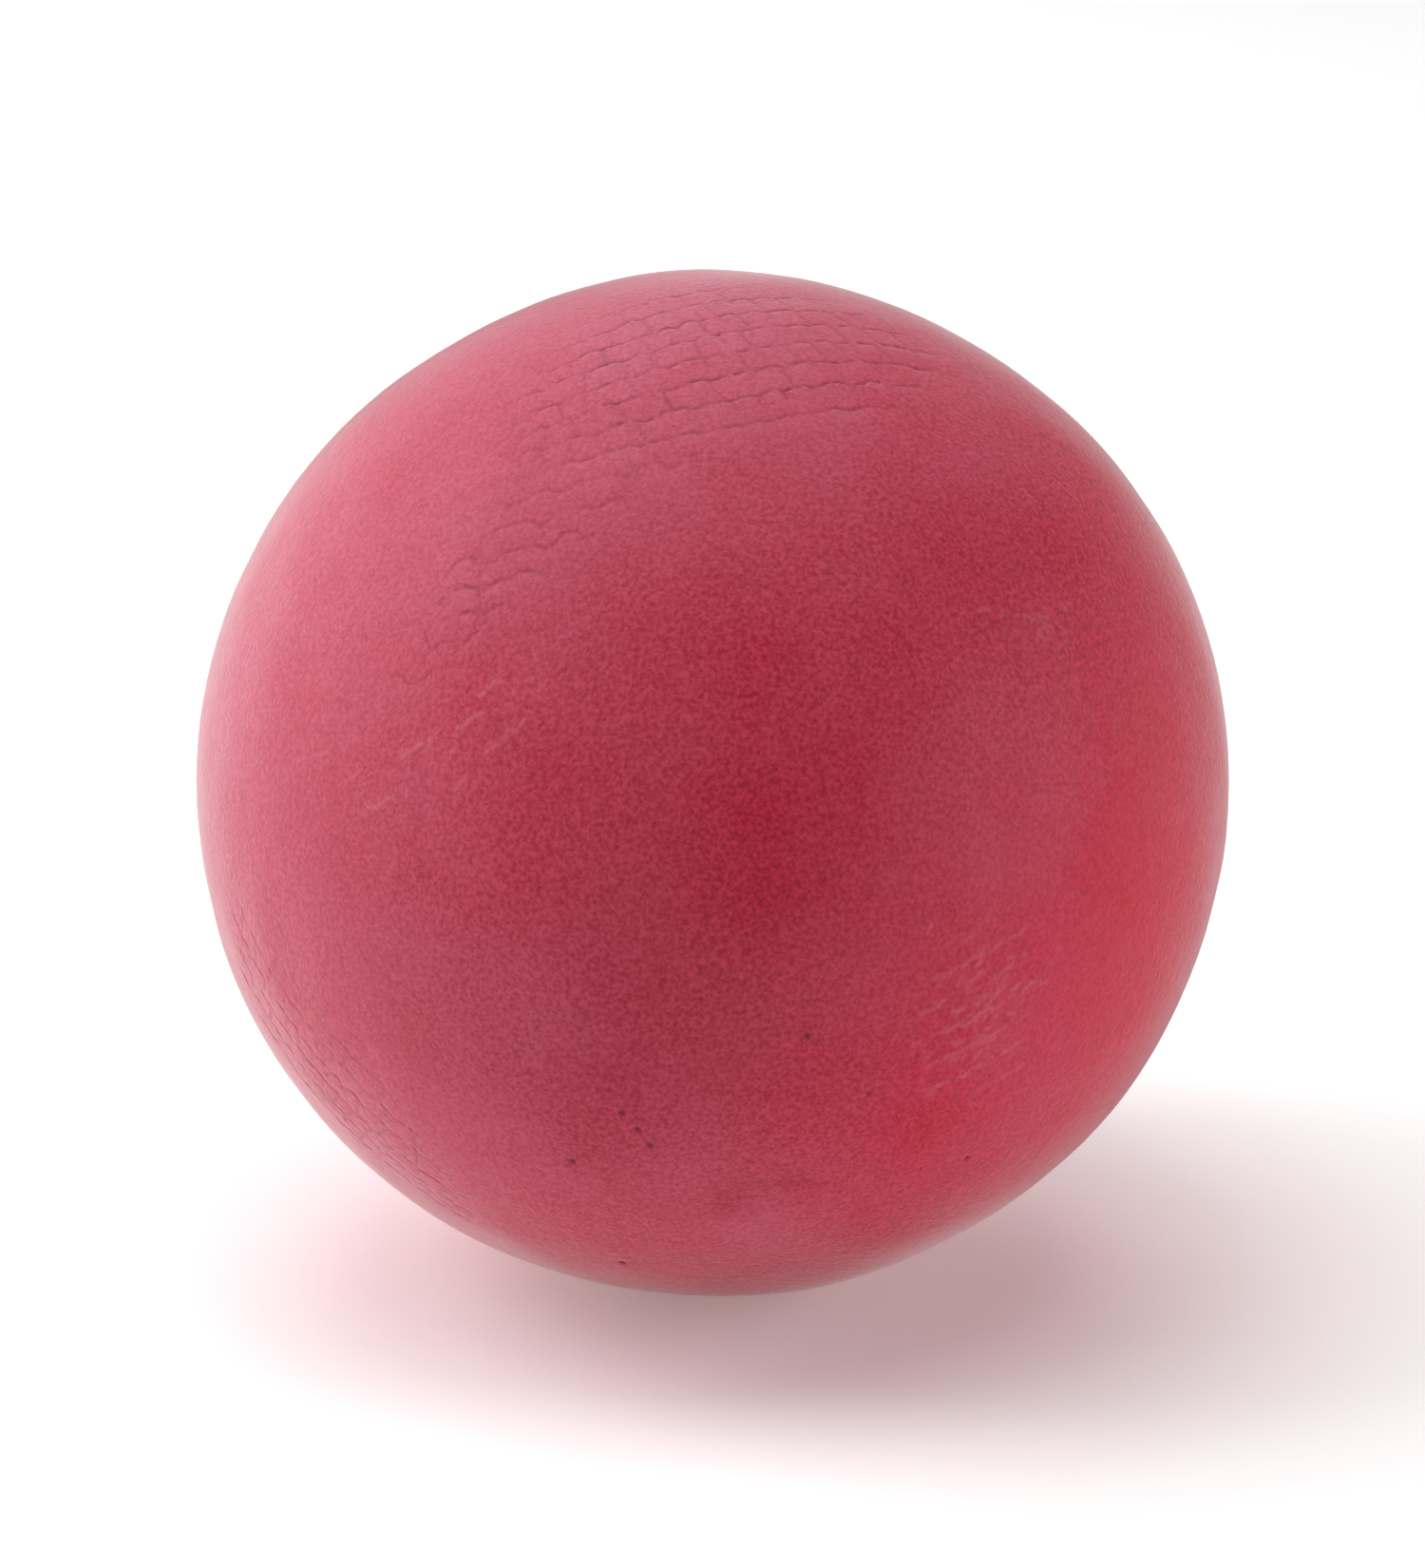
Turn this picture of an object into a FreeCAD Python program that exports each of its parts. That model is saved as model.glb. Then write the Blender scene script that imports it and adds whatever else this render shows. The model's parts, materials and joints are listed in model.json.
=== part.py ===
import FreeCAD, Part

import math
import os

# A foam hand-exercise ball that stands on the flat patch its own weight presses into it.
# Lengths are in millimetres and angles in degrees. The origin is the middle of the contact patch, with +Z up.

# Driving dimensions.
BALL_DIAMETER = 63.5         # across the widest level circle
HEIGHT_TO_WIDTH = 0.991      # the soft ball sags a little, so it is lower than it is wide
CONTACT_RADIUS = 5.0         # the flat patch underneath
SKIN_THICKNESS = 0.5         # the elastomer coat, with the foam it has soaked into
POUR_HOLE_DIAMETER = 4.6     # the hole in the coat through which the foam was poured
POUR_HOLE_AZIMUTH = -82.5    # measured from +X towards +Y, about the ball's centre
POUR_HOLE_ELEVATION = -33.5  # below the ball's level middle plane
SEAL_RECESS = 0.12           # the seal sits this far below the coat's outer face

# Derived dimensions.
HALF_WIDTH = BALL_DIAMETER / 2
HALF_HEIGHT = HALF_WIDTH * HEIGHT_TO_WIDTH
CENTRE_HEIGHT = HALF_HEIGHT * math.sqrt(1 - (CONTACT_RADIUS / HALF_WIDTH) ** 2)
CENTRE = FreeCAD.Vector(0, 0, CENTRE_HEIGHT)
UP = FreeCAD.Vector(0, 0, 1)


def ball_form(inset):
    """The ball's outer form moved inwards by inset: an ellipse turned about Z and cut flat underneath."""
    half_width = HALF_WIDTH - inset
    half_height = HALF_HEIGHT - inset
    ellipse = Part.Ellipse(
        CENTRE + FreeCAD.Vector(half_width, 0, 0),
        CENTRE + FreeCAD.Vector(0, 0, half_height),
        CENTRE,
    )
    flat_angle = math.asin((inset - CENTRE_HEIGHT) / half_height)
    # As an exact rational spline, the arc of the ellipse also survives being written to a STEP file and read back.
    side = Part.ArcOfEllipse(ellipse, flat_angle, math.pi / 2).toBSpline().toShape()
    flat_centre = FreeCAD.Vector(0, 0, inset)
    flat_edge = FreeCAD.Vector(half_width * math.cos(flat_angle), 0, inset)
    top = CENTRE + UP * half_height
    flat = Part.makeLine(flat_centre, flat_edge)
    axis = Part.makeLine(top, flat_centre)
    profile = Part.Face(Part.Wire([flat, side, axis]))
    return profile.revolve(FreeCAD.Vector(0, 0, 0), UP, 360)


def pour_hole_bore():
    """A round bar through the coat, along the ball's radius at the pour hole."""
    azimuth = math.radians(POUR_HOLE_AZIMUTH)
    elevation = math.radians(POUR_HOLE_ELEVATION)
    outwards = FreeCAD.Vector(
        math.cos(elevation) * math.cos(azimuth),
        math.cos(elevation) * math.sin(azimuth),
        math.sin(elevation),
    )
    start = CENTRE + outwards * (HALF_WIDTH - 4 * SKIN_THICKNESS)
    return Part.makeCylinder(POUR_HOLE_DIAMETER / 2, 8 * SKIN_THICKNESS, start, outwards)


def make_skin():
    """The coat: a thin shell over the foam, open at the pour hole."""
    return ball_form(0).cut(ball_form(SKIN_THICKNESS)).cut(pour_hole_bore())


def make_foam_core():
    """The foam that fills the coat and is bonded to it all over."""
    return ball_form(SKIN_THICKNESS)


def make_pour_hole_seal():
    """The dab that closes the pour hole: as thick as the coat less its recess, and bonded to the foam below."""
    layer = ball_form(SEAL_RECESS).cut(ball_form(SKIN_THICKNESS))
    return layer.common(pour_hole_bore())


NODES = {
    "skin": make_skin,
    "foam_core": make_foam_core,
    "pour_hole_seal": make_pour_hole_seal,
}

os.makedirs("parts", exist_ok=True)
for node, make in NODES.items():
    solids = make().Solids
    assert len(solids) == 1, node + " must be one solid"
    solid = solids[0]
    assert solid.isValid(), node + " isn't valid"
    solid.exportStep("parts/" + node + ".step")
    print(node, "volume", round(solid.Volume, 1), "mm3, size", solid.BoundBox)
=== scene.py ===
"""A foam hand-exercise ball: a wrinkled elastomer skin, the foam inside it and the seal of its pour hole.

Everything is in metres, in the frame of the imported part, and angles are in degrees, unless a comment says
otherwise. A direction on the ball is given by its azimuth, from +X towards +Y, and its elevation above the
ball's level middle plane.
"""

import json
import math

import bmesh
import bpy
import numpy as np
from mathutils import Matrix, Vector
from mathutils.kdtree import KDTree


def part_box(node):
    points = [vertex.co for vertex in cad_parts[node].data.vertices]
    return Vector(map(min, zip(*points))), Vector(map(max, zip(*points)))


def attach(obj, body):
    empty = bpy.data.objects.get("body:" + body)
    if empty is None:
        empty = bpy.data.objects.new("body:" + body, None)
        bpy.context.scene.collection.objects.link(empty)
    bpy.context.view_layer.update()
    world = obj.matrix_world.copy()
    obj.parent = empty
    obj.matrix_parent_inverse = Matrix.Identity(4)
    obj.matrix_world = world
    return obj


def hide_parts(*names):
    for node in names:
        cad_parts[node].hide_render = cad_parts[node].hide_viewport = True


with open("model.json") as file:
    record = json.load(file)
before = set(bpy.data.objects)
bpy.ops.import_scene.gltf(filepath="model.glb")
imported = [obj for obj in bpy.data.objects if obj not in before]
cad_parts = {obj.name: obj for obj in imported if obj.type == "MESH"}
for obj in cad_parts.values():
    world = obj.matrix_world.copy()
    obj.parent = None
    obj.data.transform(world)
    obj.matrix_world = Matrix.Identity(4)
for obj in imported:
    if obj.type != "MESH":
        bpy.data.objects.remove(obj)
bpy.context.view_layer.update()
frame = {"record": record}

MM = 0.001
chance = np.random.default_rng(11)

# ---------------------------------------- the ball's form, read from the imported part

skin_low, skin_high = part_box("skin")
_, core_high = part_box("foam_core")
seal_low, seal_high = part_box("pour_hole_seal")
grip = next(mount for mount in frame["record"]["mounts"] if mount["name"] == "grip")

CENTRE = np.array(grip["pos_m"])
HALF_WIDTH = (skin_high.x - skin_low.x) / 2
HALF_HEIGHT = skin_high.z - CENTRE[2]
SKIN_THICKNESS = skin_high.z - core_high.z
CONTACT_ROUNDING = 0.12 * MM     # softens the edge of the flat contact patch
POUR_HOLE_RADIUS = 2.3 * MM
DEGREE = math.radians(1) * HALF_WIDTH   # the length of one degree on the surface


def unit(vectors):
    return vectors / np.linalg.norm(vectors, axis=-1, keepdims=True)


def direction(azimuth, elevation):
    a, e = math.radians(azimuth), math.radians(elevation)
    return np.array([math.cos(e) * math.cos(a), math.cos(e) * math.sin(a), math.sin(e)])


FRONT_AZIMUTH = -90
FRONT_ELEVATION = 18
FRONT = direction(FRONT_AZIMUTH, FRONT_ELEVATION)    # the side of the ball that the camera looks at
HOLE_DIRECTION = unit(np.array((seal_low + seal_high) / 2) - CENTRE)
HOLE_ANGLE = POUR_HOLE_RADIUS / HALF_WIDTH      # the hole's radius as seen from the centre, in radians


def on_ball(directions, inset=0.0):
    """Points of the ball's form, moved inwards by inset, in these directions from its centre."""
    half = np.array([HALF_WIDTH, HALF_WIDTH, HALF_HEIGHT]) - inset
    points = CENTRE + directions / np.linalg.norm(directions / half, axis=-1, keepdims=True)
    above = points[:, 2] - inset
    points[:, 2] = inset + (above + np.sqrt(above**2 + CONTACT_ROUNDING**2)) / 2
    return points


def smooth_step(value, low, high):
    """From 0 at low to 1 at high, and level at both ends."""
    t = np.clip((value - low) / (high - low), 0, 1)
    return t * t * (3 - 2 * t)


# ---------------------------------------- the creases in the skin

class Patch:
    """Longitude and latitude for a patch of creases; its equator climbs to the right by tilt."""

    def __init__(self, azimuth, elevation, tilt):
        self.centre = direction(azimuth, elevation)
        north = unit(np.array([0, 0, 1]) - self.centre * self.centre[2])
        east = np.cross(north, self.centre)
        t = math.radians(tilt)
        self.along = east * math.cos(t) + north * math.sin(t)
        self.across = np.cross(self.centre, self.along)

    def directions(self, longitudes, latitudes):
        lon, lat = np.radians(longitudes)[:, None], np.radians(latitudes)[:, None]
        level = np.cos(lon) * self.centre + np.sin(lon) * self.along
        return np.cos(lat) * level + np.sin(lat) * self.across


SAMPLE_STEP = 0.06 * MM
FAINTEST_CREASE = 0.06   # weaker points are left out
crease_points = []       # directions, SAMPLE_STEP apart along each crease
crease_strengths = []    # above 0 for an open groove, below 0 for a pale raised fold
crease_sides = []        # the direction up across each point's patch; a groove's lip lies below it

# Lengths along and across a patch are in degrees.
END_FADE = 0.12          # the share of a line or a cell over which it dies away at each end
WAVER_LENGTH = 1.2       # along a short line, from one waver to the next
ROW_BENDS = [(3.0, 0.12), (0.8, 0.05)]      # wavelength and height of the bends in a row
PULSE_LENGTH = 2.0       # along a row, from one stronger stretch to the next
PULSE_MEAN = 0.8
PULSE_SCATTER = 0.28
PULSE_RANGE = (0.15, 1.25)
FAINTEST_STRETCH = 0.1   # what is left of a row where it breaks off
CROSS_LEAN = 0.5         # how far a cross crease leans either way
STOPS_SHORT = 0.35       # the chance that it ends before the row below
SPUR_SHARE = 0.35        # the strength of the short spurs between the cross creases, as a share of theirs
STRENGTH_RANGE = (0.4, 1.2)     # what the strength of a single short crease is multiplied by


def wander(positions, wavelength, amount):
    """A smooth random curve over positions, about amount high, that turns about once a wavelength."""
    knots = np.arange(positions.min() - 2 * wavelength, positions.max() + 3 * wavelength, wavelength / 2)
    heights = chance.normal(0, amount, len(knots))
    index = np.clip(np.searchsorted(knots, positions) - 1, 0, len(knots) - 2)
    t = smooth_step(positions, knots[index], knots[index + 1])
    return heights[index] * (1 - t) + heights[index + 1] * t


def add_crease(patch, longitudes, latitudes, strengths):
    """Adds a line of crease points."""
    crease_points.append(patch.directions(longitudes, latitudes))
    crease_strengths.append(strengths)
    crease_sides.append(np.broadcast_to(patch.across, (len(longitudes), 3)))


def add_line(patch, start, end, strength, waver=0.12):
    """A short crease from start to end, each (longitude, latitude), that fades at both ends."""
    (lon0, lat0), (lon1, lat1) = start, end
    length = math.hypot(lon1 - lon0, lat1 - lat0) * DEGREE
    t = np.linspace(0, 1, max(int(length / SAMPLE_STEP), 4))
    shake = wander(t * length / DEGREE, WAVER_LENGTH, waver)
    slope = math.atan2(lat1 - lat0, lon1 - lon0)
    longitudes = lon0 + (lon1 - lon0) * t - math.sin(slope) * shake
    latitudes = lat0 + (lat1 - lat0) * t + math.cos(slope) * shake
    fade = smooth_step(t, 0, END_FADE) * smooth_step(1 - t, 0, END_FADE)
    add_crease(patch, longitudes, latitudes, strength * fade)


def cell_edges(first, last, gap):
    """Where a row's cells meet, unevenly spaced about gap apart."""
    steps = gap * chance.uniform(0.6, 1.4, int(2 * (last - first) / gap) + 2)
    edges = first + np.cumsum(steps) - steps[0] * chance.uniform(0.2, 1)
    return edges[edges < last]


def scallops(longitudes, edges, height):
    """Each cell's line climbs to the right, bows upwards, and steps down where the next one starts."""
    ends = np.concatenate([[longitudes[0] - 1], edges, [longitudes[-1] + 1]])
    cell = np.clip(np.searchsorted(ends, longitudes) - 1, 0, len(ends) - 2)
    t = (longitudes - ends[cell]) / (ends[cell + 1] - ends[cell])
    step = smooth_step(t, 0, END_FADE) * smooth_step(1 - t, 0, END_FADE)
    bow = t - 0.5 + 0.6 * np.sin(math.pi * t)
    return height * step * bow * chance.uniform(0.5, 1.4, len(ends))[cell]


def comes_and_goes(longitudes, cross_gap, broken):
    """How strong a row is along its length: it pulses, and breaks off more often the larger broken is."""
    gone_below, whole_above = -1.9 + 4 * broken, -1.2 + 4 * broken
    whole = smooth_step(wander(longitudes, cross_gap / 2, 1.0), gone_below, whole_above)
    pulse = np.clip(PULSE_MEAN + wander(longitudes, PULSE_LENGTH, PULSE_SCATTER), *PULSE_RANGE)
    return (FAINTEST_STRETCH + (1 - FAINTEST_STRETCH) * whole) * pulse


def add_field(patch, rows, latitude, cross_gap, strength, left_fade=8, right_fade=10,
              broken=0.12, cross=0.6, climb=0.5):
    """Rows of creases joined by staggered cross creases, like the scales on a fish.

    rows is (row number, first longitude, last longitude, share of the strength), from the top row down.
    latitude(row, longitude) is the height of a row's line. The cross creases are about cross_gap apart, and
    their strength is the share cross of the rows'. Each cell's line climbs by about climb.
    """
    lines = {}
    for row, first, last, share in rows:
        count = int((last - first) * DEGREE / SAMPLE_STEP)
        lon = np.linspace(first, last, count)
        edges = cell_edges(first, last, cross_gap)
        line = latitude(row, lon) + scallops(lon, edges, climb)
        for wavelength, amount in ROW_BENDS:
            line += wander(lon, wavelength, amount)
        lines[row] = (lon, line, edges)
        fade = smooth_step(lon, first, first + left_fade) * smooth_step(last - lon, 0, right_fade)
        add_crease(patch, lon, line, strength * share * fade * comes_and_goes(lon, cross_gap, broken))
    for (row, first, last, share), (below, first_below, last_below, share_below) in zip(rows, rows[1:]):
        lon, line, edges = lines[row]
        lon_below, line_below, _ = lines[below]
        low, high = max(first, first_below), min(last, last_below)
        for edge in edges[(edges > low) & (edges < high)]:
            top = np.interp(edge, lon, line)
            lean = chance.normal(0, CROSS_LEAN)
            bottom = np.interp(edge + lean, lon_below, line_below)
            fade = smooth_step(edge, low, low + left_fade) * smooth_step(high - edge, 0, right_fade)
            weight = strength * cross * min(share, share_below) * fade * chance.uniform(*STRENGTH_RANGE)
            if chance.random() < STOPS_SHORT:
                reach = chance.uniform(0.35, 0.7)
                bottom, lean = top + (bottom - top) * reach, lean * reach
            add_line(patch, (edge, top), (edge + lean, bottom), weight, waver=0.1)
        for start in chance.uniform(low, high, int((high - low) / cross_gap)):
            top = np.interp(start, lon, line)
            reach = chance.uniform(0.25, 0.55) * (np.interp(start, lon_below, line_below) - top)
            tip = (start + chance.normal(0, 0.3), top + reach)
            add_line(patch, (start, top), tip, SPUR_SHARE * strength * cross * share, waver=0.08)


FLECK_SPREAD = 0.45      # the flecks' scatter about the middle of a patch, as a share of its reach
FLECK_TURN = (0.15, 0.35)       # the mean and the scatter of their slope, in radians
FLECK_HALF_LENGTH = (0.25, 0.7)


def add_flecks(patch, count, reach, strength):
    """Short strokes scattered over a patch, most of them near its middle and along its rows."""
    for longitude, latitude in chance.normal(0, FLECK_SPREAD, (count, 2)) * reach:
        turn, half = chance.normal(*FLECK_TURN), chance.uniform(*FLECK_HALF_LENGTH)
        step = np.array([math.cos(turn), math.sin(turn)]) * half
        start, end = (longitude, latitude) - step, (longitude, latitude) + step
        add_line(patch, start, end, strength * chance.uniform(*STRENGTH_RANGE), waver=0.1)


# The main field: an arc of rows over the top that fans out from the lower left to the right.
CREST_LONGITUDE = 18
CREST_LATITUDE = 44.1
ROW_SPACING = 4.0
SPACING_GROWTH = 0.03    # how fast the rows draw together to the left of the crest
LEFT_BEND = 0.0018       # how fast they fall away on either side of it
RIGHT_BEND = 0.0045


def arc_latitude(row, longitude):
    """The rows over the top: they rise to a crest and fall away on both sides."""
    beyond = np.maximum(longitude - CREST_LONGITUDE, 0)
    before = np.maximum(CREST_LONGITUDE - longitude, 0)
    spacing = ROW_SPACING - SPACING_GROWTH * before
    return CREST_LATITUDE + row * spacing - LEFT_BEND * before**2 - RIGHT_BEND * beyond**2


LEVEL_SPACING = 3.3


def level_latitude(row, longitude):
    """Straight rows along the patch's equator."""
    return row * LEVEL_SPACING + 0 * longitude


top_arc = Patch(-93.3, 27.3, 19)
add_field(top_arc, [
    (3, 4, 42, 0.7),
    (2, -4, 50, 0.9),
    (1, -10, 54, 1.0),
    (0, -15, 56, 1.0),
    (-1, -16, 56, 1.0),
    (-2, -16, 55, 1.0),
    (-3, -16, 48, 1.0),
    (-4, -18, 44, 0.8),
], arc_latitude, cross_gap=5.2, strength=0.85, left_fade=12, right_fade=10, cross=0.5)
add_field(top_arc, [
    (-5, -21, 12, 0.8),
    (-6, -19, 3, 0.9),
    (-7, -25, -2, 1.0),
    (-8, -25, -9, 1.1),
    (-9, -29, -13, 1.1),
    (-10, -29, -17, 0.9),
    (-11, -33, -20, 1.1),
], arc_latitude, cross_gap=6.0, strength=0.58, left_fade=4, right_fade=4, cross=0.7, climb=1.3)

# The lower right: pale raised folds.
lower_right = Patch(-60.5, -9.7, 18.3)
add_field(lower_right, [
    (3, -3, 8, 0.35),
    (2, -5, 10, 0.8),
    (1, -9, 8, 0.7),
    (0, -9, 10, 1.0),
    (-1, -8, 7, 0.9),
    (-2, -9, 6, 0.8),
    (-3, -4, 6, 0.6),
    (-4, -1, 5, 0.5),
], level_latitude, cross_gap=3.2, strength=-0.85, left_fade=2, right_fade=3, broken=0.22,
    cross=0.35, climb=0.3)
add_flecks(lower_right, count=70, reach=(9, 10), strength=-0.7)

# The lower left: a fine net of grooves that follows the outline.
lower_left = Patch(-136.3, -17.3, -43)
add_field(lower_left, [
    (1, -18, 4, 0.4),
    (0, -20, 10, 0.5),
    (-1, -22, 14, 0.7),
    (-2, -22, 18, 0.8),
    (-3, -20, 22, 0.8),
    (-4, -18, 24, 0.7),
    (-5, -14, 24, 0.6),
], level_latitude, cross_gap=3.2, strength=0.75, left_fade=3, right_fade=3, broken=0.15, cross=0.9)

# The left: a few short pale folds, where the top arc runs out.
LEFT_FOLDS = 0.7
left_side = Patch(-120.7, 19.1, 49)
for start, end, strength in [
    ((-12, 1.7), (-7.5, 0.4), 1.0),
    ((-5, 3.1), (-1.5, 2.2), 1.0),
    ((2.0, 0.8), (6.2, 0.1), 0.9),
    ((6.2, 2.0), (9.6, 1.7), 0.8),
    ((3.0, -3.3), (9.8, -3.6), 0.7),
    ((-2.2, -3.8), (0.8, -4.0), 0.6),
    ((3.4, -6.4), (6.0, -6.8), 0.5),
    ((-12.4, 5.7), (-9.8, 5.4), 0.6),
    ((-14, 11.2), (-12, 9.6), 0.5),
]:
    add_line(left_side, start, end, -LEFT_FOLDS * strength)
add_flecks(left_side, count=30, reach=(14, 8), strength=-0.4)

# The back: two fields like those in front.
BACK_BEND = 0.006


def back_latitude(row, longitude):
    """Evenly spaced rows that fall away on both sides of the patch's middle."""
    return row * ROW_SPACING - BACK_BEND * longitude**2


back_arc = Patch(70, 20, -24)
add_field(back_arc, [
    (row, -26 + 3 * abs(row), 24 - 2 * abs(row - 1), 1 - 0.12 * abs(row)) for row in range(4, -5, -1)
], back_latitude, cross_gap=5.4, strength=0.9)
back_low = Patch(150, -22, 12)
add_field(back_low, [
    (row, -12 + 2 * abs(row), 13 - abs(row), 0.7) for row in range(2, -4, -1)
], level_latitude, cross_gap=3.8, strength=0.7, left_fade=4, right_fade=4, broken=0.2)

# The right: a few pale flecks above the middle.
right_side = Patch(-46.5, 31, -9)
add_flecks(right_side, count=26, reach=(5.5, 2.2), strength=-0.4)

crease_points = np.concatenate(crease_points)
crease_strengths = np.concatenate(crease_strengths)
crease_sides = np.concatenate(crease_sides)
worth_keeping = np.abs(crease_strengths) > FAINTEST_CREASE
crease_points = crease_points[worth_keeping]
crease_strengths = crease_strengths[worth_keeping]
crease_sides = crease_sides[worth_keeping]

# ---------------------------------------- pinholes, where bubbles met the mould

# Azimuth and elevation of every pinhole in front.
FRONT_PINHOLES = [
    (-100.0, -19.1), (-98.4, -21.2), (-97.1, -23.4), (-106.8, -27.0),
    (-56.8, -29.9), (-104.9, -48.3), (-80.0, -9.4), (-72.6, -17.3),
]
RANDOM_PINHOLES = 60
PINHOLE_RADII = (0.16 * MM, 0.22 * MM)      # the smallest and the largest
random_pinholes = unit(chance.normal(0, 1, (RANDOM_PINHOLES, 3)))
back_pinholes = random_pinholes[random_pinholes @ FRONT < 0]
pinholes = np.vstack([[direction(*place) for place in FRONT_PINHOLES], back_pinholes])
pinhole_radii = chance.uniform(*PINHOLE_RADII, len(pinholes))

# ---------------------------------------- a triangle mesh, finer where the detail is


def icosphere(level):
    """The corners and triangles of a ball of radius 1; each level halves the edges of the one before."""
    shape = bmesh.new()
    bmesh.ops.create_icosphere(shape, subdivisions=level, radius=1)
    corners = unit(np.array([v.co for v in shape.verts]))
    triangles = np.array([[v.index for v in face.verts] for face in shape.faces])
    shape.free()
    return corners, triangles


def split_marked(corners, triangles, marked):
    """Halves every edge of the marked triangles, and splits the triangles beside them to match."""
    count = len(corners)
    edges = np.sort(np.stack([triangles, np.roll(triangles, -1, axis=1)], axis=2), axis=2)
    keys = edges[..., 0].astype(np.int64) * count + edges[..., 1]
    halved = np.unique(keys[marked])
    place = np.clip(np.searchsorted(halved, keys), 0, len(halved) - 1)
    is_halved = halved[place] == keys
    middles = np.where(is_halved, count + place, -1)
    new_corners = unit(corners[halved // count] + corners[halved % count])
    number = is_halved.sum(1)

    def turned(rows, first_edge):
        """Those triangles and their edges' middles, counted from first_edge."""
        order = (first_edge[:, None] + np.arange(3)) % 3
        return (*np.take_along_axis(triangles[rows], order, 1).T,
                *np.take_along_axis(middles[rows], order, 1).T)

    made = [triangles[number == 0]]
    one = np.flatnonzero(number == 1)
    a, b, c, ab, bc, ca = turned(one, is_halved[one].argmax(1))
    made += [np.stack(t, 1) for t in ((a, ab, c), (ab, b, c))]
    two = np.flatnonzero(number == 2)
    a, b, c, ab, bc, ca = turned(two, (~is_halved[two]).argmax(1) + 1)
    made += [np.stack(t, 1) for t in ((ab, b, bc), (a, ab, bc), (a, bc, c))]
    three = np.flatnonzero(number == 3)
    a, b, c, ab, bc, ca = turned(three, np.zeros(len(three), int))
    made += [np.stack(t, 1) for t in ((a, ab, ca), (ab, b, bc), (ca, bc, c), (ab, bc, ca))]
    return np.vstack([corners, new_corners]), np.vstack(made)


def tree_of(points):
    """A search tree for the nearest of these points."""
    tree = KDTree(len(points))
    for index, point in enumerate(points):
        tree.insert(point, index)
    tree.balance()
    return tree


def nearest(tree, directions):
    """The nearest point's number and its distance along the surface, in metres, for each direction."""
    found = [tree.find(d)[1:] for d in directions]
    return np.array([f[0] for f in found]), np.array([f[1] for f in found]) * HALF_WIDTH


def ring(axis, radius, count):
    """count directions round axis, at that distance along the surface."""
    side = unit(np.cross(axis, (0, 0, 1)))
    other = np.cross(axis, side)
    turn = np.linspace(0, 2 * math.pi, count, endpoint=False)[:, None]
    angle = radius / HALF_WIDTH
    return math.cos(angle) * axis + math.sin(angle) * (np.cos(turn) * side + np.sin(turn) * other)


FIRST_LEVEL = 6
REFINE_WITHIN = [1.5 * MM, 0.75 * MM, 0.3 * MM]   # each step halves the edges this near to a detail
RIM_SAMPLES = 240

crease_tree = tree_of(crease_points)
pinhole_tree = tree_of(pinholes)
detail_tree = tree_of(np.vstack([
    crease_points[::3],      # near enough together for this
    pinholes,
    ring(HOLE_DIRECTION, POUR_HOLE_RADIUS, RIM_SAMPLES),
]))

corners, triangles = icosphere(FIRST_LEVEL)
for reach in REFINE_WITHIN:
    middles = unit(corners[triangles].sum(1))
    _, distance = nearest(detail_tree, middles)
    corners, triangles = split_marked(corners, triangles, distance < reach)

# ---------------------------------------- the relief of the skin's outer face

GROOVE_DEPTH = 0.085 * MM
GROOVE_HALF_WIDTH = 0.095 * MM
LIP_HEIGHT = 0.024 * MM      # below each groove the skin bulges a little, like a scale
LIP_REACH = 0.40 * MM        # the bulge is highest this far down
FOLD_HEIGHT = 0.07 * MM
FOLD_HALF_WIDTH = 0.14 * MM
PINHOLE_DEPTH = 0.12 * MM
SNAP_WITHIN = 0.045 * MM     # corners this near to a crease move onto it
SNAP_SHARE = 0.8             # by this share of the way
# Height, wavelength, number of waves and seed.
SWELLS = [
    (0.07 * MM, 22 * MM, 24, 3),
    (0.018 * MM, 5 * MM, 40, 4),
]


def rolling(directions, wavelength, count, seed):
    """A gentle random swell over the ball, about 1 high, made of plane waves."""
    waves = np.random.default_rng(seed)
    heading = unit(waves.normal(0, 1, (count, 3)))
    length = wavelength * waves.uniform(0.7, 1.6, count)
    phase = waves.uniform(0, 2 * math.pi, count)
    angle = directions @ (heading * (2 * math.pi * HALF_WIDTH / length)[:, None]).T + phase
    return np.cos(angle).sum(1) * math.sqrt(2 / count)


def swell(directions):
    """How far the soft skin bulges, in metres: long gentle swells with smaller ones on them."""
    return sum(height * rolling(directions, *waves) for height, *waves in SWELLS)


number, distance = nearest(crease_tree, corners)
snapped = distance < SNAP_WITHIN
onto = crease_points[number[snapped]]
corners[snapped] = unit((1 - SNAP_SHARE) * corners[snapped] + SNAP_SHARE * onto)
number, distance = nearest(crease_tree, corners)
groove = np.maximum(crease_strengths[number], 0)
fold = np.maximum(-crease_strengths[number], 0)
pinhole_number, pinhole_distance = nearest(pinhole_tree, corners)
pinhole = np.exp(-(pinhole_distance / pinhole_radii[pinhole_number]) ** 4)

height = -GROOVE_DEPTH * groove * np.exp(-(distance / GROOVE_HALF_WIDTH) ** 2)
below = -((corners - crease_points[number]) * crease_sides[number]).sum(1) * HALF_WIDTH
down = np.maximum(below, 0) / LIP_REACH
lip = down * np.exp((1 - down**2) / 2)
height += LIP_HEIGHT * groove * lip
height += FOLD_HEIGHT * fold * np.exp(-(distance / FOLD_HALF_WIDTH) ** 2)
height -= PINHOLE_DEPTH * pinhole
height += swell(corners)

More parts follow.
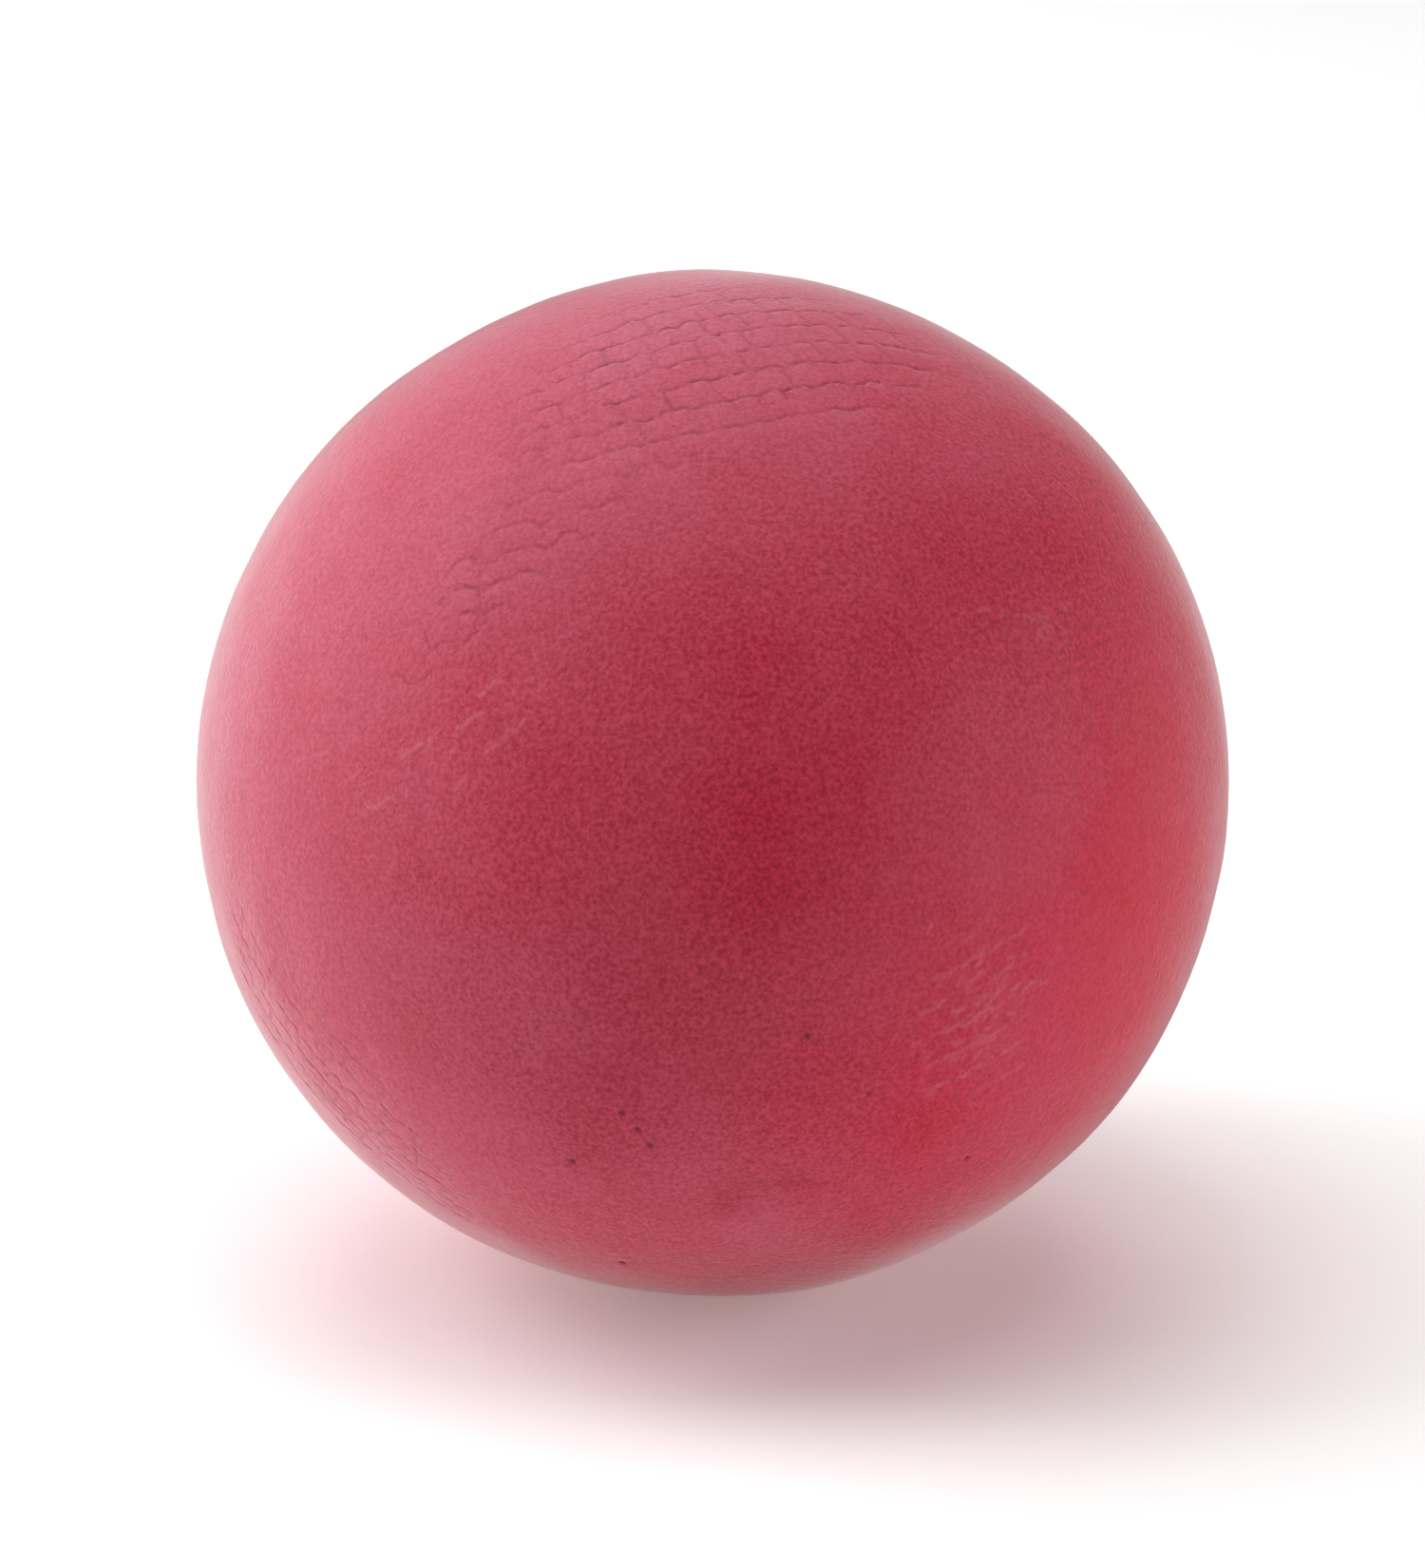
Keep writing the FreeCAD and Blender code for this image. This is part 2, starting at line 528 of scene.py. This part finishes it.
# The pour hole: the skin's edge is drawn onto a circle, and dips softly where the seal has sunk.
HOLE_SINK = 0.20 * MM        # how far the seal and the edge have sunk there
RIM_SOFTNESS = 0.9 * MM      # how far the dip reaches into the skin
RIM_SNAP = 0.04 * MM         # corners just outside the hole are drawn onto its edge too
# Painted shade: a darker ring along the sunk edge of the hole.
HOLE_PAINTED_SHADE_RADIUS = 2.7 * MM
HOLE_PAINTED_SHADE_HALF_WIDTH = 1.0 * MM
HOLE_PAINTED_SHADE_DARKNESS = 0.35
PAINTED_SHADE_OVER_SHEEN = 0.5       # how much of the chalk and painted sheen the hole's painted shade takes away
LEVEL_UP_TO = -0.4           # across the hole towards the sunk side, in radii: the seal is level up to here


def distance_from_hole(directions):
    """Along the surface, from the middle of the pour hole."""
    return np.arccos(np.clip(directions @ HOLE_DIRECTION, -1, 1)) * HALF_WIDTH


def away_from_hole(offsets):
    """The directions of these offsets, squared to the hole's axis."""
    return unit(offsets - (offsets @ HOLE_DIRECTION)[:, None] * HOLE_DIRECTION)


def round_the_hole(outwards, angle):
    """Directions at this angle from the hole's axis, on the sides that outwards points to."""
    return math.cos(angle) * HOLE_DIRECTION + math.sin(angle) * outwards


from_hole = distance_from_hole(corners)
inside = from_hole < POUR_HOLE_RADIUS + RIM_SNAP
triangles = triangles[~inside[triangles].all(1)]
corners[inside] = round_the_hole(away_from_hole(corners[inside]), HOLE_ANGLE)
from_hole[inside] = POUR_HOLE_RADIUS
hole_north = unit(np.array([0, 0, 1]) - HOLE_DIRECTION * HOLE_DIRECTION[2])
hole_east = np.cross(hole_north, HOLE_DIRECTION)
SINK_SIDE = unit(hole_north - 0.5 * hole_east)      # the seal has sunk at the upper left of the hole


def sunk_share(directions):
    """From 0 on the side where the seal is level with the skin to 1 where it has sunk."""
    return smooth_step(directions @ SINK_SIDE, LEVEL_UP_TO * HOLE_ANGLE, HOLE_ANGLE)


def hole_shade(directions, from_hole):
    """How far the skin and the seal dip here, from 0 to 1 at the deepest part of the hole's edge."""
    beyond = np.maximum(from_hole - POUR_HOLE_RADIUS, 0)
    return sunk_share(directions) * np.exp(-(beyond / RIM_SOFTNESS) ** 2)


height -= HOLE_SINK * hole_shade(corners, from_hole)

# Soft areas of the skin: azimuth, elevation, width in degrees, amount. The pale spots are partly chalky
# bloom and partly painted sheen, strongest on the lit left and top.
CHALK_AND_SHEEN_SPOTS = [
    (-165, 10, 50, 0.52),
    (-150, 60, 45, 0.26),
    (-140, -25, 35, 0.20),
    (-90, 80, 30, 0.40),
    (-60, -2, 14, 0.12),
    (-64, 13, 11, 0.30),
    (-118, 44, 10, 0.15),
    (-127, -28, 12, 0.28),
    (-87, -37, 14, 0.34),
    (-83, -38, 4, 0.12),
    (-50, -26, 9, 0.20),
    (70, 35, 50, 0.35),
    (110, -35, 35, 0.25),
]
EVEN_FLUSH = 0.42        # the flush that is everywhere
FLUSH_SPOTS = [
    (-38, -5, 36, 0.5),
    (-105, -18, 19, -0.5),
    (-46, 38, 18, -0.3),
    (20, 10, 35, 0.3),
    (150, -10, 30, 0.3),
]


def painted_hole_shade(directions, from_hole):
    """Painted shade: the darker crescent along the sunk edge of the hole, where the edge dips away from the
    light.
    """
    ring_shape = np.exp(-((from_hole - HOLE_PAINTED_SHADE_RADIUS) / HOLE_PAINTED_SHADE_HALF_WIDTH) ** 2)
    return HOLE_PAINTED_SHADE_DARKNESS * sunk_share(directions) * ring_shape


def soft_areas(directions, spots):
    """The sum of round spots that fade outwards."""
    total = np.zeros(len(directions))
    for azimuth, elevation, width, amount in spots:
        away = np.degrees(np.arccos(np.clip(directions @ direction(azimuth, elevation), -1, 1)))
        total += amount * np.exp(-(away / width) ** 2)
    return total


def soft_marks(directions, from_hole):
    """The marks that the skin and the seal share: painted shade at the hole's sunk edge, chalky bloom with
    painted sheen, and the flush.
    """
    painted_shade = painted_hole_shade(directions, from_hole)
    return {
        "groove": painted_shade,
        "chalk_and_painted_sheen": soft_areas(directions, CHALK_AND_SHEEN_SPOTS) - PAINTED_SHADE_OVER_SHEEN * painted_shade,
        "flush": EVEN_FLUSH + soft_areas(directions, FLUSH_SPOTS),
    }


DARK_HALF_WIDTH = 1.2 * GROOVE_HALF_WIDTH    # the painted shade of a groove runs a little over its sides
LIP_PAINTED_HIGHLIGHT = 0.35
marks = soft_marks(corners, from_hole)
# Painted shade along each groove.
marks["groove"] += groove * np.exp(-(distance / DARK_HALF_WIDTH) ** 2)
# A painted highlight on the lip below each groove, where it faces up to the light.
marks["lip"] = LIP_PAINTED_HIGHLIGHT * groove * lip
marks["fold"] = fold * np.exp(-(distance / FOLD_HALF_WIDTH) ** 2)
marks["pinhole"] = pinhole

FLATTENED_UP_TO = 1.5 * MM       # the relief grows from nothing on the contact patch to its full height here
outer = on_ball(corners)
height *= smooth_step(outer[:, 2], 0, FLATTENED_UP_TO)
outer += unit(outer - CENTRE) * height[:, None]


def boundary_loop(triangles, points, axis):
    """The corners on the open edge of a mesh, in order round the axis."""
    edges = np.sort(np.stack([triangles, np.roll(triangles, -1, axis=1)], axis=2).reshape(-1, 2), axis=1)
    pairs, uses = np.unique(edges, axis=0, return_counts=True)
    loop = np.unique(pairs[uses == 1])
    side = unit(np.cross(axis, (0, 0, 1)))
    other = np.cross(axis, side)
    offset = points[loop] - CENTRE
    return loop[np.argsort(np.arctan2(offset @ other, offset @ side))]


# The inside of the skin: rings from the hole's edge to the far side, each with as many points as the edge.
INNER_RINGS = 36
RING_CROWDING = 1.3      # above 1, the rings lie closer together near the hole
loop = boundary_loop(triangles, outer, HOLE_DIRECTION)
loop_outwards = away_from_hole(outer[loop] - CENTRE)
layers = []
for step in range(INNER_RINGS):
    angle = HOLE_ANGLE + (math.pi - HOLE_ANGLE) * (step / INNER_RINGS) ** RING_CROWDING
    layers.append(on_ball(round_the_hole(loop_outwards, angle), SKIN_THICKNESS))
far_point = on_ball(-HOLE_DIRECTION[None, :], SKIN_THICKNESS)

used = np.unique(triangles)
renumber = np.full(len(outer), -1)
renumber[used] = np.arange(len(used))
faces = renumber[triangles].tolist()
points = np.vstack([outer[used], *layers, far_point])
previous = renumber[loop]
for step in range(INNER_RINGS):
    current = len(used) + step * len(loop) + np.arange(len(loop))
    strips = np.stack([previous, np.roll(previous, -1), np.roll(current, -1), current], 1)
    faces += strips.tolist()
    previous = current
last = len(points) - 1
faces += [[int(a), int(b), last] for a, b in zip(previous, np.roll(previous, -1))]


SHARP_ANGLE = math.radians(50)      # edges that turn by more aren't smoothed over


def mesh_object(name, points, faces, body="root"):
    """A piece with smooth faces that rides on the body."""
    mesh = bpy.data.meshes.new(name)
    mesh.from_pydata([tuple(p) for p in points], [], faces)
    shape = bmesh.new()
    shape.from_mesh(mesh)
    bmesh.ops.recalc_face_normals(shape, faces=shape.faces)
    for edge in shape.edges:
        edge.smooth = edge.calc_face_angle(0) < SHARP_ANGLE
    shape.to_mesh(mesh)
    shape.free()
    mesh.polygons.foreach_set("use_smooth", [True] * len(mesh.polygons))
    piece = bpy.data.objects.new(name, mesh)
    bpy.context.scene.collection.objects.link(piece)
    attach(piece, body)
    return piece


def add_marks(piece, marks):
    """Stores marks for the piece's material to read, on its first vertices; the rest get 0."""
    for name, values in marks.items():
        attribute = piece.data.attributes.new(name, "FLOAT", "POINT")
        all_values = np.zeros(len(piece.data.vertices), np.float32)
        all_values[:len(values)] = values
        attribute.data.foreach_set("value", all_values)


skin = mesh_object("ball_skin", points, faces)
add_marks(skin, {name: values[used] for name, values in marks.items()})
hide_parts("skin")

# ---------------------------------------- the seal and the foam core

SEAL_BITE = 0.003 * MM       # the dab is bonded to the skin's edge, and reaches this far into it
SEAL_SECTORS = 96
SEAL_RINGS = 14
SEAL_DIMPLE_DEPTH = 0.02 * MM
SEAL_DIMPLES = (1.6 * MM, 24, 5)     # wavelength, number of waves and seed


def seal_shape():
    """A dab as wide as the hole: rings across its outer face, then its side, then across its inner face."""
    widest = (POUR_HOLE_RADIUS + SEAL_BITE) / HALF_WIDTH
    radii = widest * np.linspace(0, 1, SEAL_RINGS + 1)[1:]
    rings = [ring(HOLE_DIRECTION, radius * HALF_WIDTH, SEAL_SECTORS) for radius in radii]
    middle = HOLE_DIRECTION[None, :]

    def outer_inset(directions, reach):
        """How deep the outer face lies; reach is 0 in the middle and 1 at the edge, level with the skin."""
        dimples = SEAL_DIMPLE_DEPTH * np.abs(rolling(directions, *SEAL_DIMPLES)) * (1 - reach**4)
        return ((HOLE_SINK + dimples) * sunk_share(directions) - swell(directions))[:, None]

    layers = [on_ball(middle) - outer_inset(middle, 0) * middle]
    layers += [on_ball(r) - outer_inset(r, radius / widest) * r for r, radius in zip(rings, radii)]
    layers += [on_ball(r, SKIN_THICKNESS) for r in rings[::-1]]
    layers += [on_ball(middle, SKIN_THICKNESS)]
    faces = []
    count = SEAL_SECTORS
    next_one = np.roll(np.arange(count), -1)
    for layer in range(2 * SEAL_RINGS - 1):
        start = 1 + layer * count
        for a, b in enumerate(next_one):
            faces.append([start + a, start + int(b), start + count + int(b), start + count + a])
    last = 1 + 2 * SEAL_RINGS * count
    faces += [[0, 1 + a, 1 + int(b)] for a, b in enumerate(next_one)]
    faces += [[last, last - count + int(b), last - count + a] for a, b in enumerate(next_one)]
    return np.vstack(layers), faces


seal_points, seal_faces = seal_shape()
seal = mesh_object("hole_seal", seal_points, seal_faces)
seal_directions = unit(seal_points - CENTRE)
add_marks(seal, soft_marks(seal_directions, distance_from_hole(seal_directions)))
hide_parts("pour_hole_seal")

CORE_LEVEL = 6
CELL_DEPTH = 0.12 * MM       # of the foam's outermost cells, under the skin
CORE_CELLS = (2.2 * MM, 60, 6)      # wavelength, number of waves and seed
CORE_FLATTENED_UP_TO = 0.5 * MM     # above the core's own flat
core_corners, core_triangles = icosphere(CORE_LEVEL)
core_points = on_ball(core_corners, SKIN_THICKNESS)
dimples = np.clip(rolling(core_corners, *CORE_CELLS), 0, 2) / 2
dimples *= smooth_step(core_points[:, 2], SKIN_THICKNESS, SKIN_THICKNESS + CORE_FLATTENED_UP_TO)
core_points -= unit(core_points - CENTRE) * (CELL_DEPTH * dimples)[:, None]
core = mesh_object("foam_body", core_points, core_triangles.tolist())
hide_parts("foam_core")

# ---------------------------------------- materials


class Shader:
    """A node material with a Principled shader, and short ways to add and link its nodes."""

    def __init__(self, name):
        self.material = bpy.data.materials.new(name)
        self.material.use_nodes = True
        self.nodes = self.material.node_tree.nodes
        self.links = self.material.node_tree.links
        self.surface = self.nodes["Principled BSDF"]
        self.place = self.nodes.new("ShaderNodeTexCoord").outputs["Object"]

    def link(self, source, target):
        """Feeds a number, a colour or another node's output into target."""
        if isinstance(source, (int, float)):
            target.default_value = source
        elif isinstance(source, tuple):
            target.default_value = (*source, 1.0)
        else:
            self.links.new(source, target)

    def constant(self, name, value):
        """Sets a value of the surface itself."""
        self.surface.inputs[name].default_value = value

    def noise(self, size, detail=2.0, roughness=0.5):
        node = self.nodes.new("ShaderNodeTexNoise")
        node.inputs["Scale"].default_value = 1 / size
        node.inputs["Detail"].default_value = detail
        node.inputs["Roughness"].default_value = roughness
        self.link(self.place, node.inputs["Vector"])
        return node.outputs["Fac"]

    def cells(self, size):
        node = self.nodes.new("ShaderNodeTexVoronoi")
        node.inputs["Scale"].default_value = 1 / size
        self.link(self.place, node.inputs["Vector"])
        return node.outputs["Distance"]

    def mark(self, name):
        node = self.nodes.new("ShaderNodeAttribute")
        node.attribute_name = name
        return node.outputs["Fac"]

    def spread(self, value, low, high, to_low=0.0, to_high=1.0):
        """Stretches low to high over to_low to to_high, and holds what lies outside."""
        node = self.nodes.new("ShaderNodeMapRange")
        self.link(value, node.inputs["Value"])
        node.inputs["From Min"].default_value = low
        node.inputs["From Max"].default_value = high
        node.inputs["To Min"].default_value = to_low
        node.inputs["To Max"].default_value = to_high
        return node.outputs["Result"]

    def math(self, operation, first, second):
        node = self.nodes.new("ShaderNodeMath")
        node.operation = operation
        self.link(first, node.inputs[0])
        self.link(second, node.inputs[1])
        return node.outputs["Value"]

    def mix(self, amount, first, second, blend="MIX"):
        node = self.nodes.new("ShaderNodeMix")
        node.data_type = "RGBA"
        node.blend_type = blend
        self.link(amount, node.inputs[0])
        self.link(first, node.inputs[6])
        self.link(second, node.inputs[7])
        return node.outputs[2]

    def bump(self, height, distance, strength, after=None):
        node = self.nodes.new("ShaderNodeBump")
        node.inputs["Distance"].default_value = distance
        node.inputs["Strength"].default_value = strength
        self.link(height, node.inputs["Height"])
        if after is not None:
            self.link(after, node.inputs["Normal"])
        return node.outputs["Normal"]


DULL_RED = (0.420, 0.018, 0.052)
FLUSHED_RED = (0.590, 0.018, 0.050)
# Pale pink of the chalky bloom and of the painted sheen on the lit side.
CHALK_AND_SHEEN_PINK = (0.560, 0.115, 0.185)
# Pink of the whitened folds, also used as a painted highlight on the lips.
FOLD_AND_HIGHLIGHT_PINK = (0.660, 0.180, 0.230)
# Dark red of the painted shade in the grooves, pores, pinholes and at the hole's edge.
PAINTED_SHADE_RED = (0.200, 0.014, 0.028)
GRAIN_LOW = (0.70, 0.33, 0.44)       # what the foam's grain multiplies the colour by, at its darkest
GRAIN_HIGH = (1.30, 1.67, 1.56)      # and at its lightest
GRAIN_SIZE = 0.28 * MM
SPECK_SIZE = 0.8 * MM
BLOTCH_SIZE = 9 * MM
BLOTCH_PALENESS = 0.12          # what the blotches add to the chalk and painted sheen or take from it
PORE_SPACING = 2.0 * MM
PORE_SHARE = 0.45            # how much of the painted shade each mark takes on
GROOVE_SHARE = 0.7
PINHOLE_SHARE = 0.9
FOLD_AND_HIGHLIGHT_SHARE = 0.55            # how much of the pink the folds take on, and the lips as a painted highlight
GRAIN_UNDER_CHALK_AND_SHEEN = 0.42     # what is left of the grain where the chalk and painted sheen are thick
GRAIN_IN_FLUSH = 0.45        # and where the flush is strong
GRAIN_BUMP = 0.045 * MM
SPECK_BUMP = 0.06 * MM
SPECK_BUMP_STRENGTH = 0.4
COAT_ROUGHNESS = (0.54, 0.68)
FOAM_RED = (0.62, 0.12, 0.16)
FOAM_PINK = (0.70, 0.17, 0.22)
# Dark red of the painted shade in the foam's cell hollows.
FOAM_CELL_PAINTED_SHADE = (0.30, 0.03, 0.05)
FOAM_CELL_SIZE = 0.45 * MM
FOAM_CELL_SHARE = 0.6
FOAM_CELL_BUMP = 0.25 * MM
FOAM_TONE_SIZE = 6 * MM
FOAM_ROUGHNESS = (0.8, 0.95)
WHITE = (1, 1, 1, 1)


def coat_material(name):
    """The matte elastomer coat: foam grain showing through, chalky bloom and painted sheen in places,
    painted shade in the grooves, pores and pinholes, painted highlights on the lips.
    """
    shader = Shader(name)
    grain = shader.noise(GRAIN_SIZE, detail=2.0, roughness=0.65)
    specks = shader.noise(SPECK_SIZE, detail=1.0)
    blotches = shader.spread(shader.noise(BLOTCH_SIZE), 0.3, 0.7, -BLOTCH_PALENESS, BLOTCH_PALENESS)
    # Chalky bloom mixed with painted sheen, paler on the lit left and top.
    chalk_and_sheen = shader.math("ADD", shader.mark("chalk_and_painted_sheen"), blotches)
    flushed = shader.mark("flush")
    colour = shader.mix(flushed, DULL_RED, FLUSHED_RED)
    colour = shader.mix(shader.spread(chalk_and_sheen, 0, 1), colour, CHALK_AND_SHEEN_PINK)

    grain_tint = shader.mix(shader.spread(grain, 0.32, 0.68), GRAIN_LOW, GRAIN_HIGH)
    under_chalk_and_sheen = shader.spread(chalk_and_sheen, 0, 0.5, 1, GRAIN_UNDER_CHALK_AND_SHEEN)
    in_flush = shader.spread(flushed, 0.45, 0.9, 1, GRAIN_IN_FLUSH)
    colour = shader.mix(shader.math("MULTIPLY", under_chalk_and_sheen, in_flush), colour, grain_tint, "MULTIPLY")

    # Painted shade in the pores.
    pores = shader.spread(shader.cells(PORE_SPACING), 0.03, 0.06, PORE_SHARE, 0)
    colour = shader.mix(pores, colour, PAINTED_SHADE_RED)
    # The whitened folds, and a painted highlight on the lips below the grooves.
    fold_or_painted_highlight = shader.math("MAXIMUM", shader.mark("fold"), shader.mark("lip"))
    colour = shader.mix(shader.spread(fold_or_painted_highlight, 0, 1, 0, FOLD_AND_HIGHLIGHT_SHARE), colour, FOLD_AND_HIGHLIGHT_PINK)
    # Painted shade in the grooves, at the hole's sunk edge and in the pinholes.
    for mark, share in (("groove", GROOVE_SHARE), ("pinhole", PINHOLE_SHARE)):
        colour = shader.mix(shader.spread(shader.mark(mark), 0, 1, 0, share), colour, PAINTED_SHADE_RED)
    shader.link(colour, shader.surface.inputs["Base Color"])

    shader.link(shader.spread(specks, 0.3, 0.7, *COAT_ROUGHNESS), shader.surface.inputs["Roughness"])
    normal = shader.bump(grain, GRAIN_BUMP, 1.0)
    normal = shader.bump(specks, SPECK_BUMP, SPECK_BUMP_STRENGTH, normal)
    shader.link(normal, shader.surface.inputs["Normal"])
    shader.constant("Specular IOR Level", 0.25)
    shader.constant("Sheen Weight", 0.8)
    shader.constant("Sheen Roughness", 0.3)
    shader.constant("Sheen Tint", WHITE)
    return shader.material


def foam_material(name):
    """The open cells of the soft foam inside, with painted shade in their hollows."""
    shader = Shader(name)
    cells = shader.cells(FOAM_CELL_SIZE)
    tone = shader.noise(FOAM_TONE_SIZE)
    colour = shader.mix(shader.spread(tone, 0.3, 0.7), FOAM_RED, FOAM_PINK)
    # Painted shade in the cell hollows.
    colour = shader.mix(shader.spread(cells, 0.1, 0.5, FOAM_CELL_SHARE, 0), colour, FOAM_CELL_PAINTED_SHADE)
    shader.link(colour, shader.surface.inputs["Base Color"])
    shader.link(shader.spread(tone, 0, 1, *FOAM_ROUGHNESS), shader.surface.inputs["Roughness"])
    shader.link(shader.bump(cells, FOAM_CELL_BUMP, 1.0), shader.surface.inputs["Normal"])
    shader.constant("Sheen Weight", 0.3)
    return shader.material


skin.data.materials.append(coat_material("coat"))
core.data.materials.append(foam_material("open_cell_foam"))
seal.data.materials.append(coat_material("coat_seal"))

# ---------------------------------------- floor, lights and camera

LIGHT_DISTANCE = 0.7     # from the ball's centre
LIGHT_WIDTH = 0.4
# Name, azimuth from the front towards the right, elevation, brightness.
LIGHTS = [
    ("key_left", -90, 45, 0.371),
    ("low_left", -90, 12, 0.272),
    ("edge_left", -120, 12, 0.187),
    ("back_left", -150, 12, 0.128),
    ("top_left", -120, 75, 0.166),
    ("front_top", -60, 75, 0.203),
    ("top_right", 60, 75, 0.213),
    ("low_right", 90, 12, 0.361),
    ("fill_right", 60, 12, 0.021),
    ("back", 180, 45, 0.143),
]
FLOOR_SIZE = 6
FLOOR_COLOUR = (0.94, 0.94, 0.94)
FLOOR_GLOW = 0.2         # the floor is a softly lit table
WORLD_GLOW = 0.03
LENS = 150               # in millimetres, like the sensor
SENSOR = 36
BALL_SHARE_OF_FRAME = 0.6587     # the ball's width over the frame's longer side


def aimed(name, data, offset):
    """An object at offset from the ball's centre that looks at it."""
    thing = bpy.data.objects.new(name, data)
    bpy.context.scene.collection.objects.link(thing)
    thing.location = Vector(CENTRE) + offset
    thing.rotation_mode = "QUATERNION"
    thing.rotation_quaternion = (-offset).to_track_quat("-Z", "Y")
    return thing


# The energy grows with the square of the distance, so the brightness on the ball doesn't depend on it.
for name, azimuth, elevation, brightness in LIGHTS:
    light = bpy.data.lights.new(name, "AREA")
    light.shape = "DISK"
    light.size = LIGHT_WIDTH
    light.energy = brightness * (math.pi * LIGHT_DISTANCE) ** 2
    aimed(name, light, Vector(direction(FRONT_AZIMUTH + azimuth, elevation)) * LIGHT_DISTANCE)

bpy.ops.mesh.primitive_plane_add(size=FLOOR_SIZE)
floor = bpy.context.object
floor.name = "floor"
floor_shader = Shader("pale_floor")
floor_shader.constant("Base Color", (*FLOOR_COLOUR, 1))
floor_shader.constant("Roughness", 1)
floor_shader.constant("Specular IOR Level", 0)
floor_shader.constant("Emission Color", WHITE)
floor_shader.constant("Emission Strength", FLOOR_GLOW)
floor.data.materials.append(floor_shader.material)

world = bpy.data.worlds.new("studio")
world.use_nodes = True
background = world.node_tree.nodes["Background"]
background.inputs["Color"].default_value = WHITE
background.inputs["Strength"].default_value = WORLD_GLOW
bpy.context.scene.world = world
bpy.context.scene.view_settings.view_transform = "Standard"

camera_data = bpy.data.cameras.new("camera")
camera_data.lens = LENS
camera_data.sensor_width = SENSOR
half_angle = math.atan(BALL_SHARE_OF_FRAME / 2 * SENSOR / LENS)
camera_distance = HALF_WIDTH / math.sin(half_angle)
camera = aimed("camera", camera_data, Vector(FRONT) * camera_distance)
bpy.context.scene.camera = camera
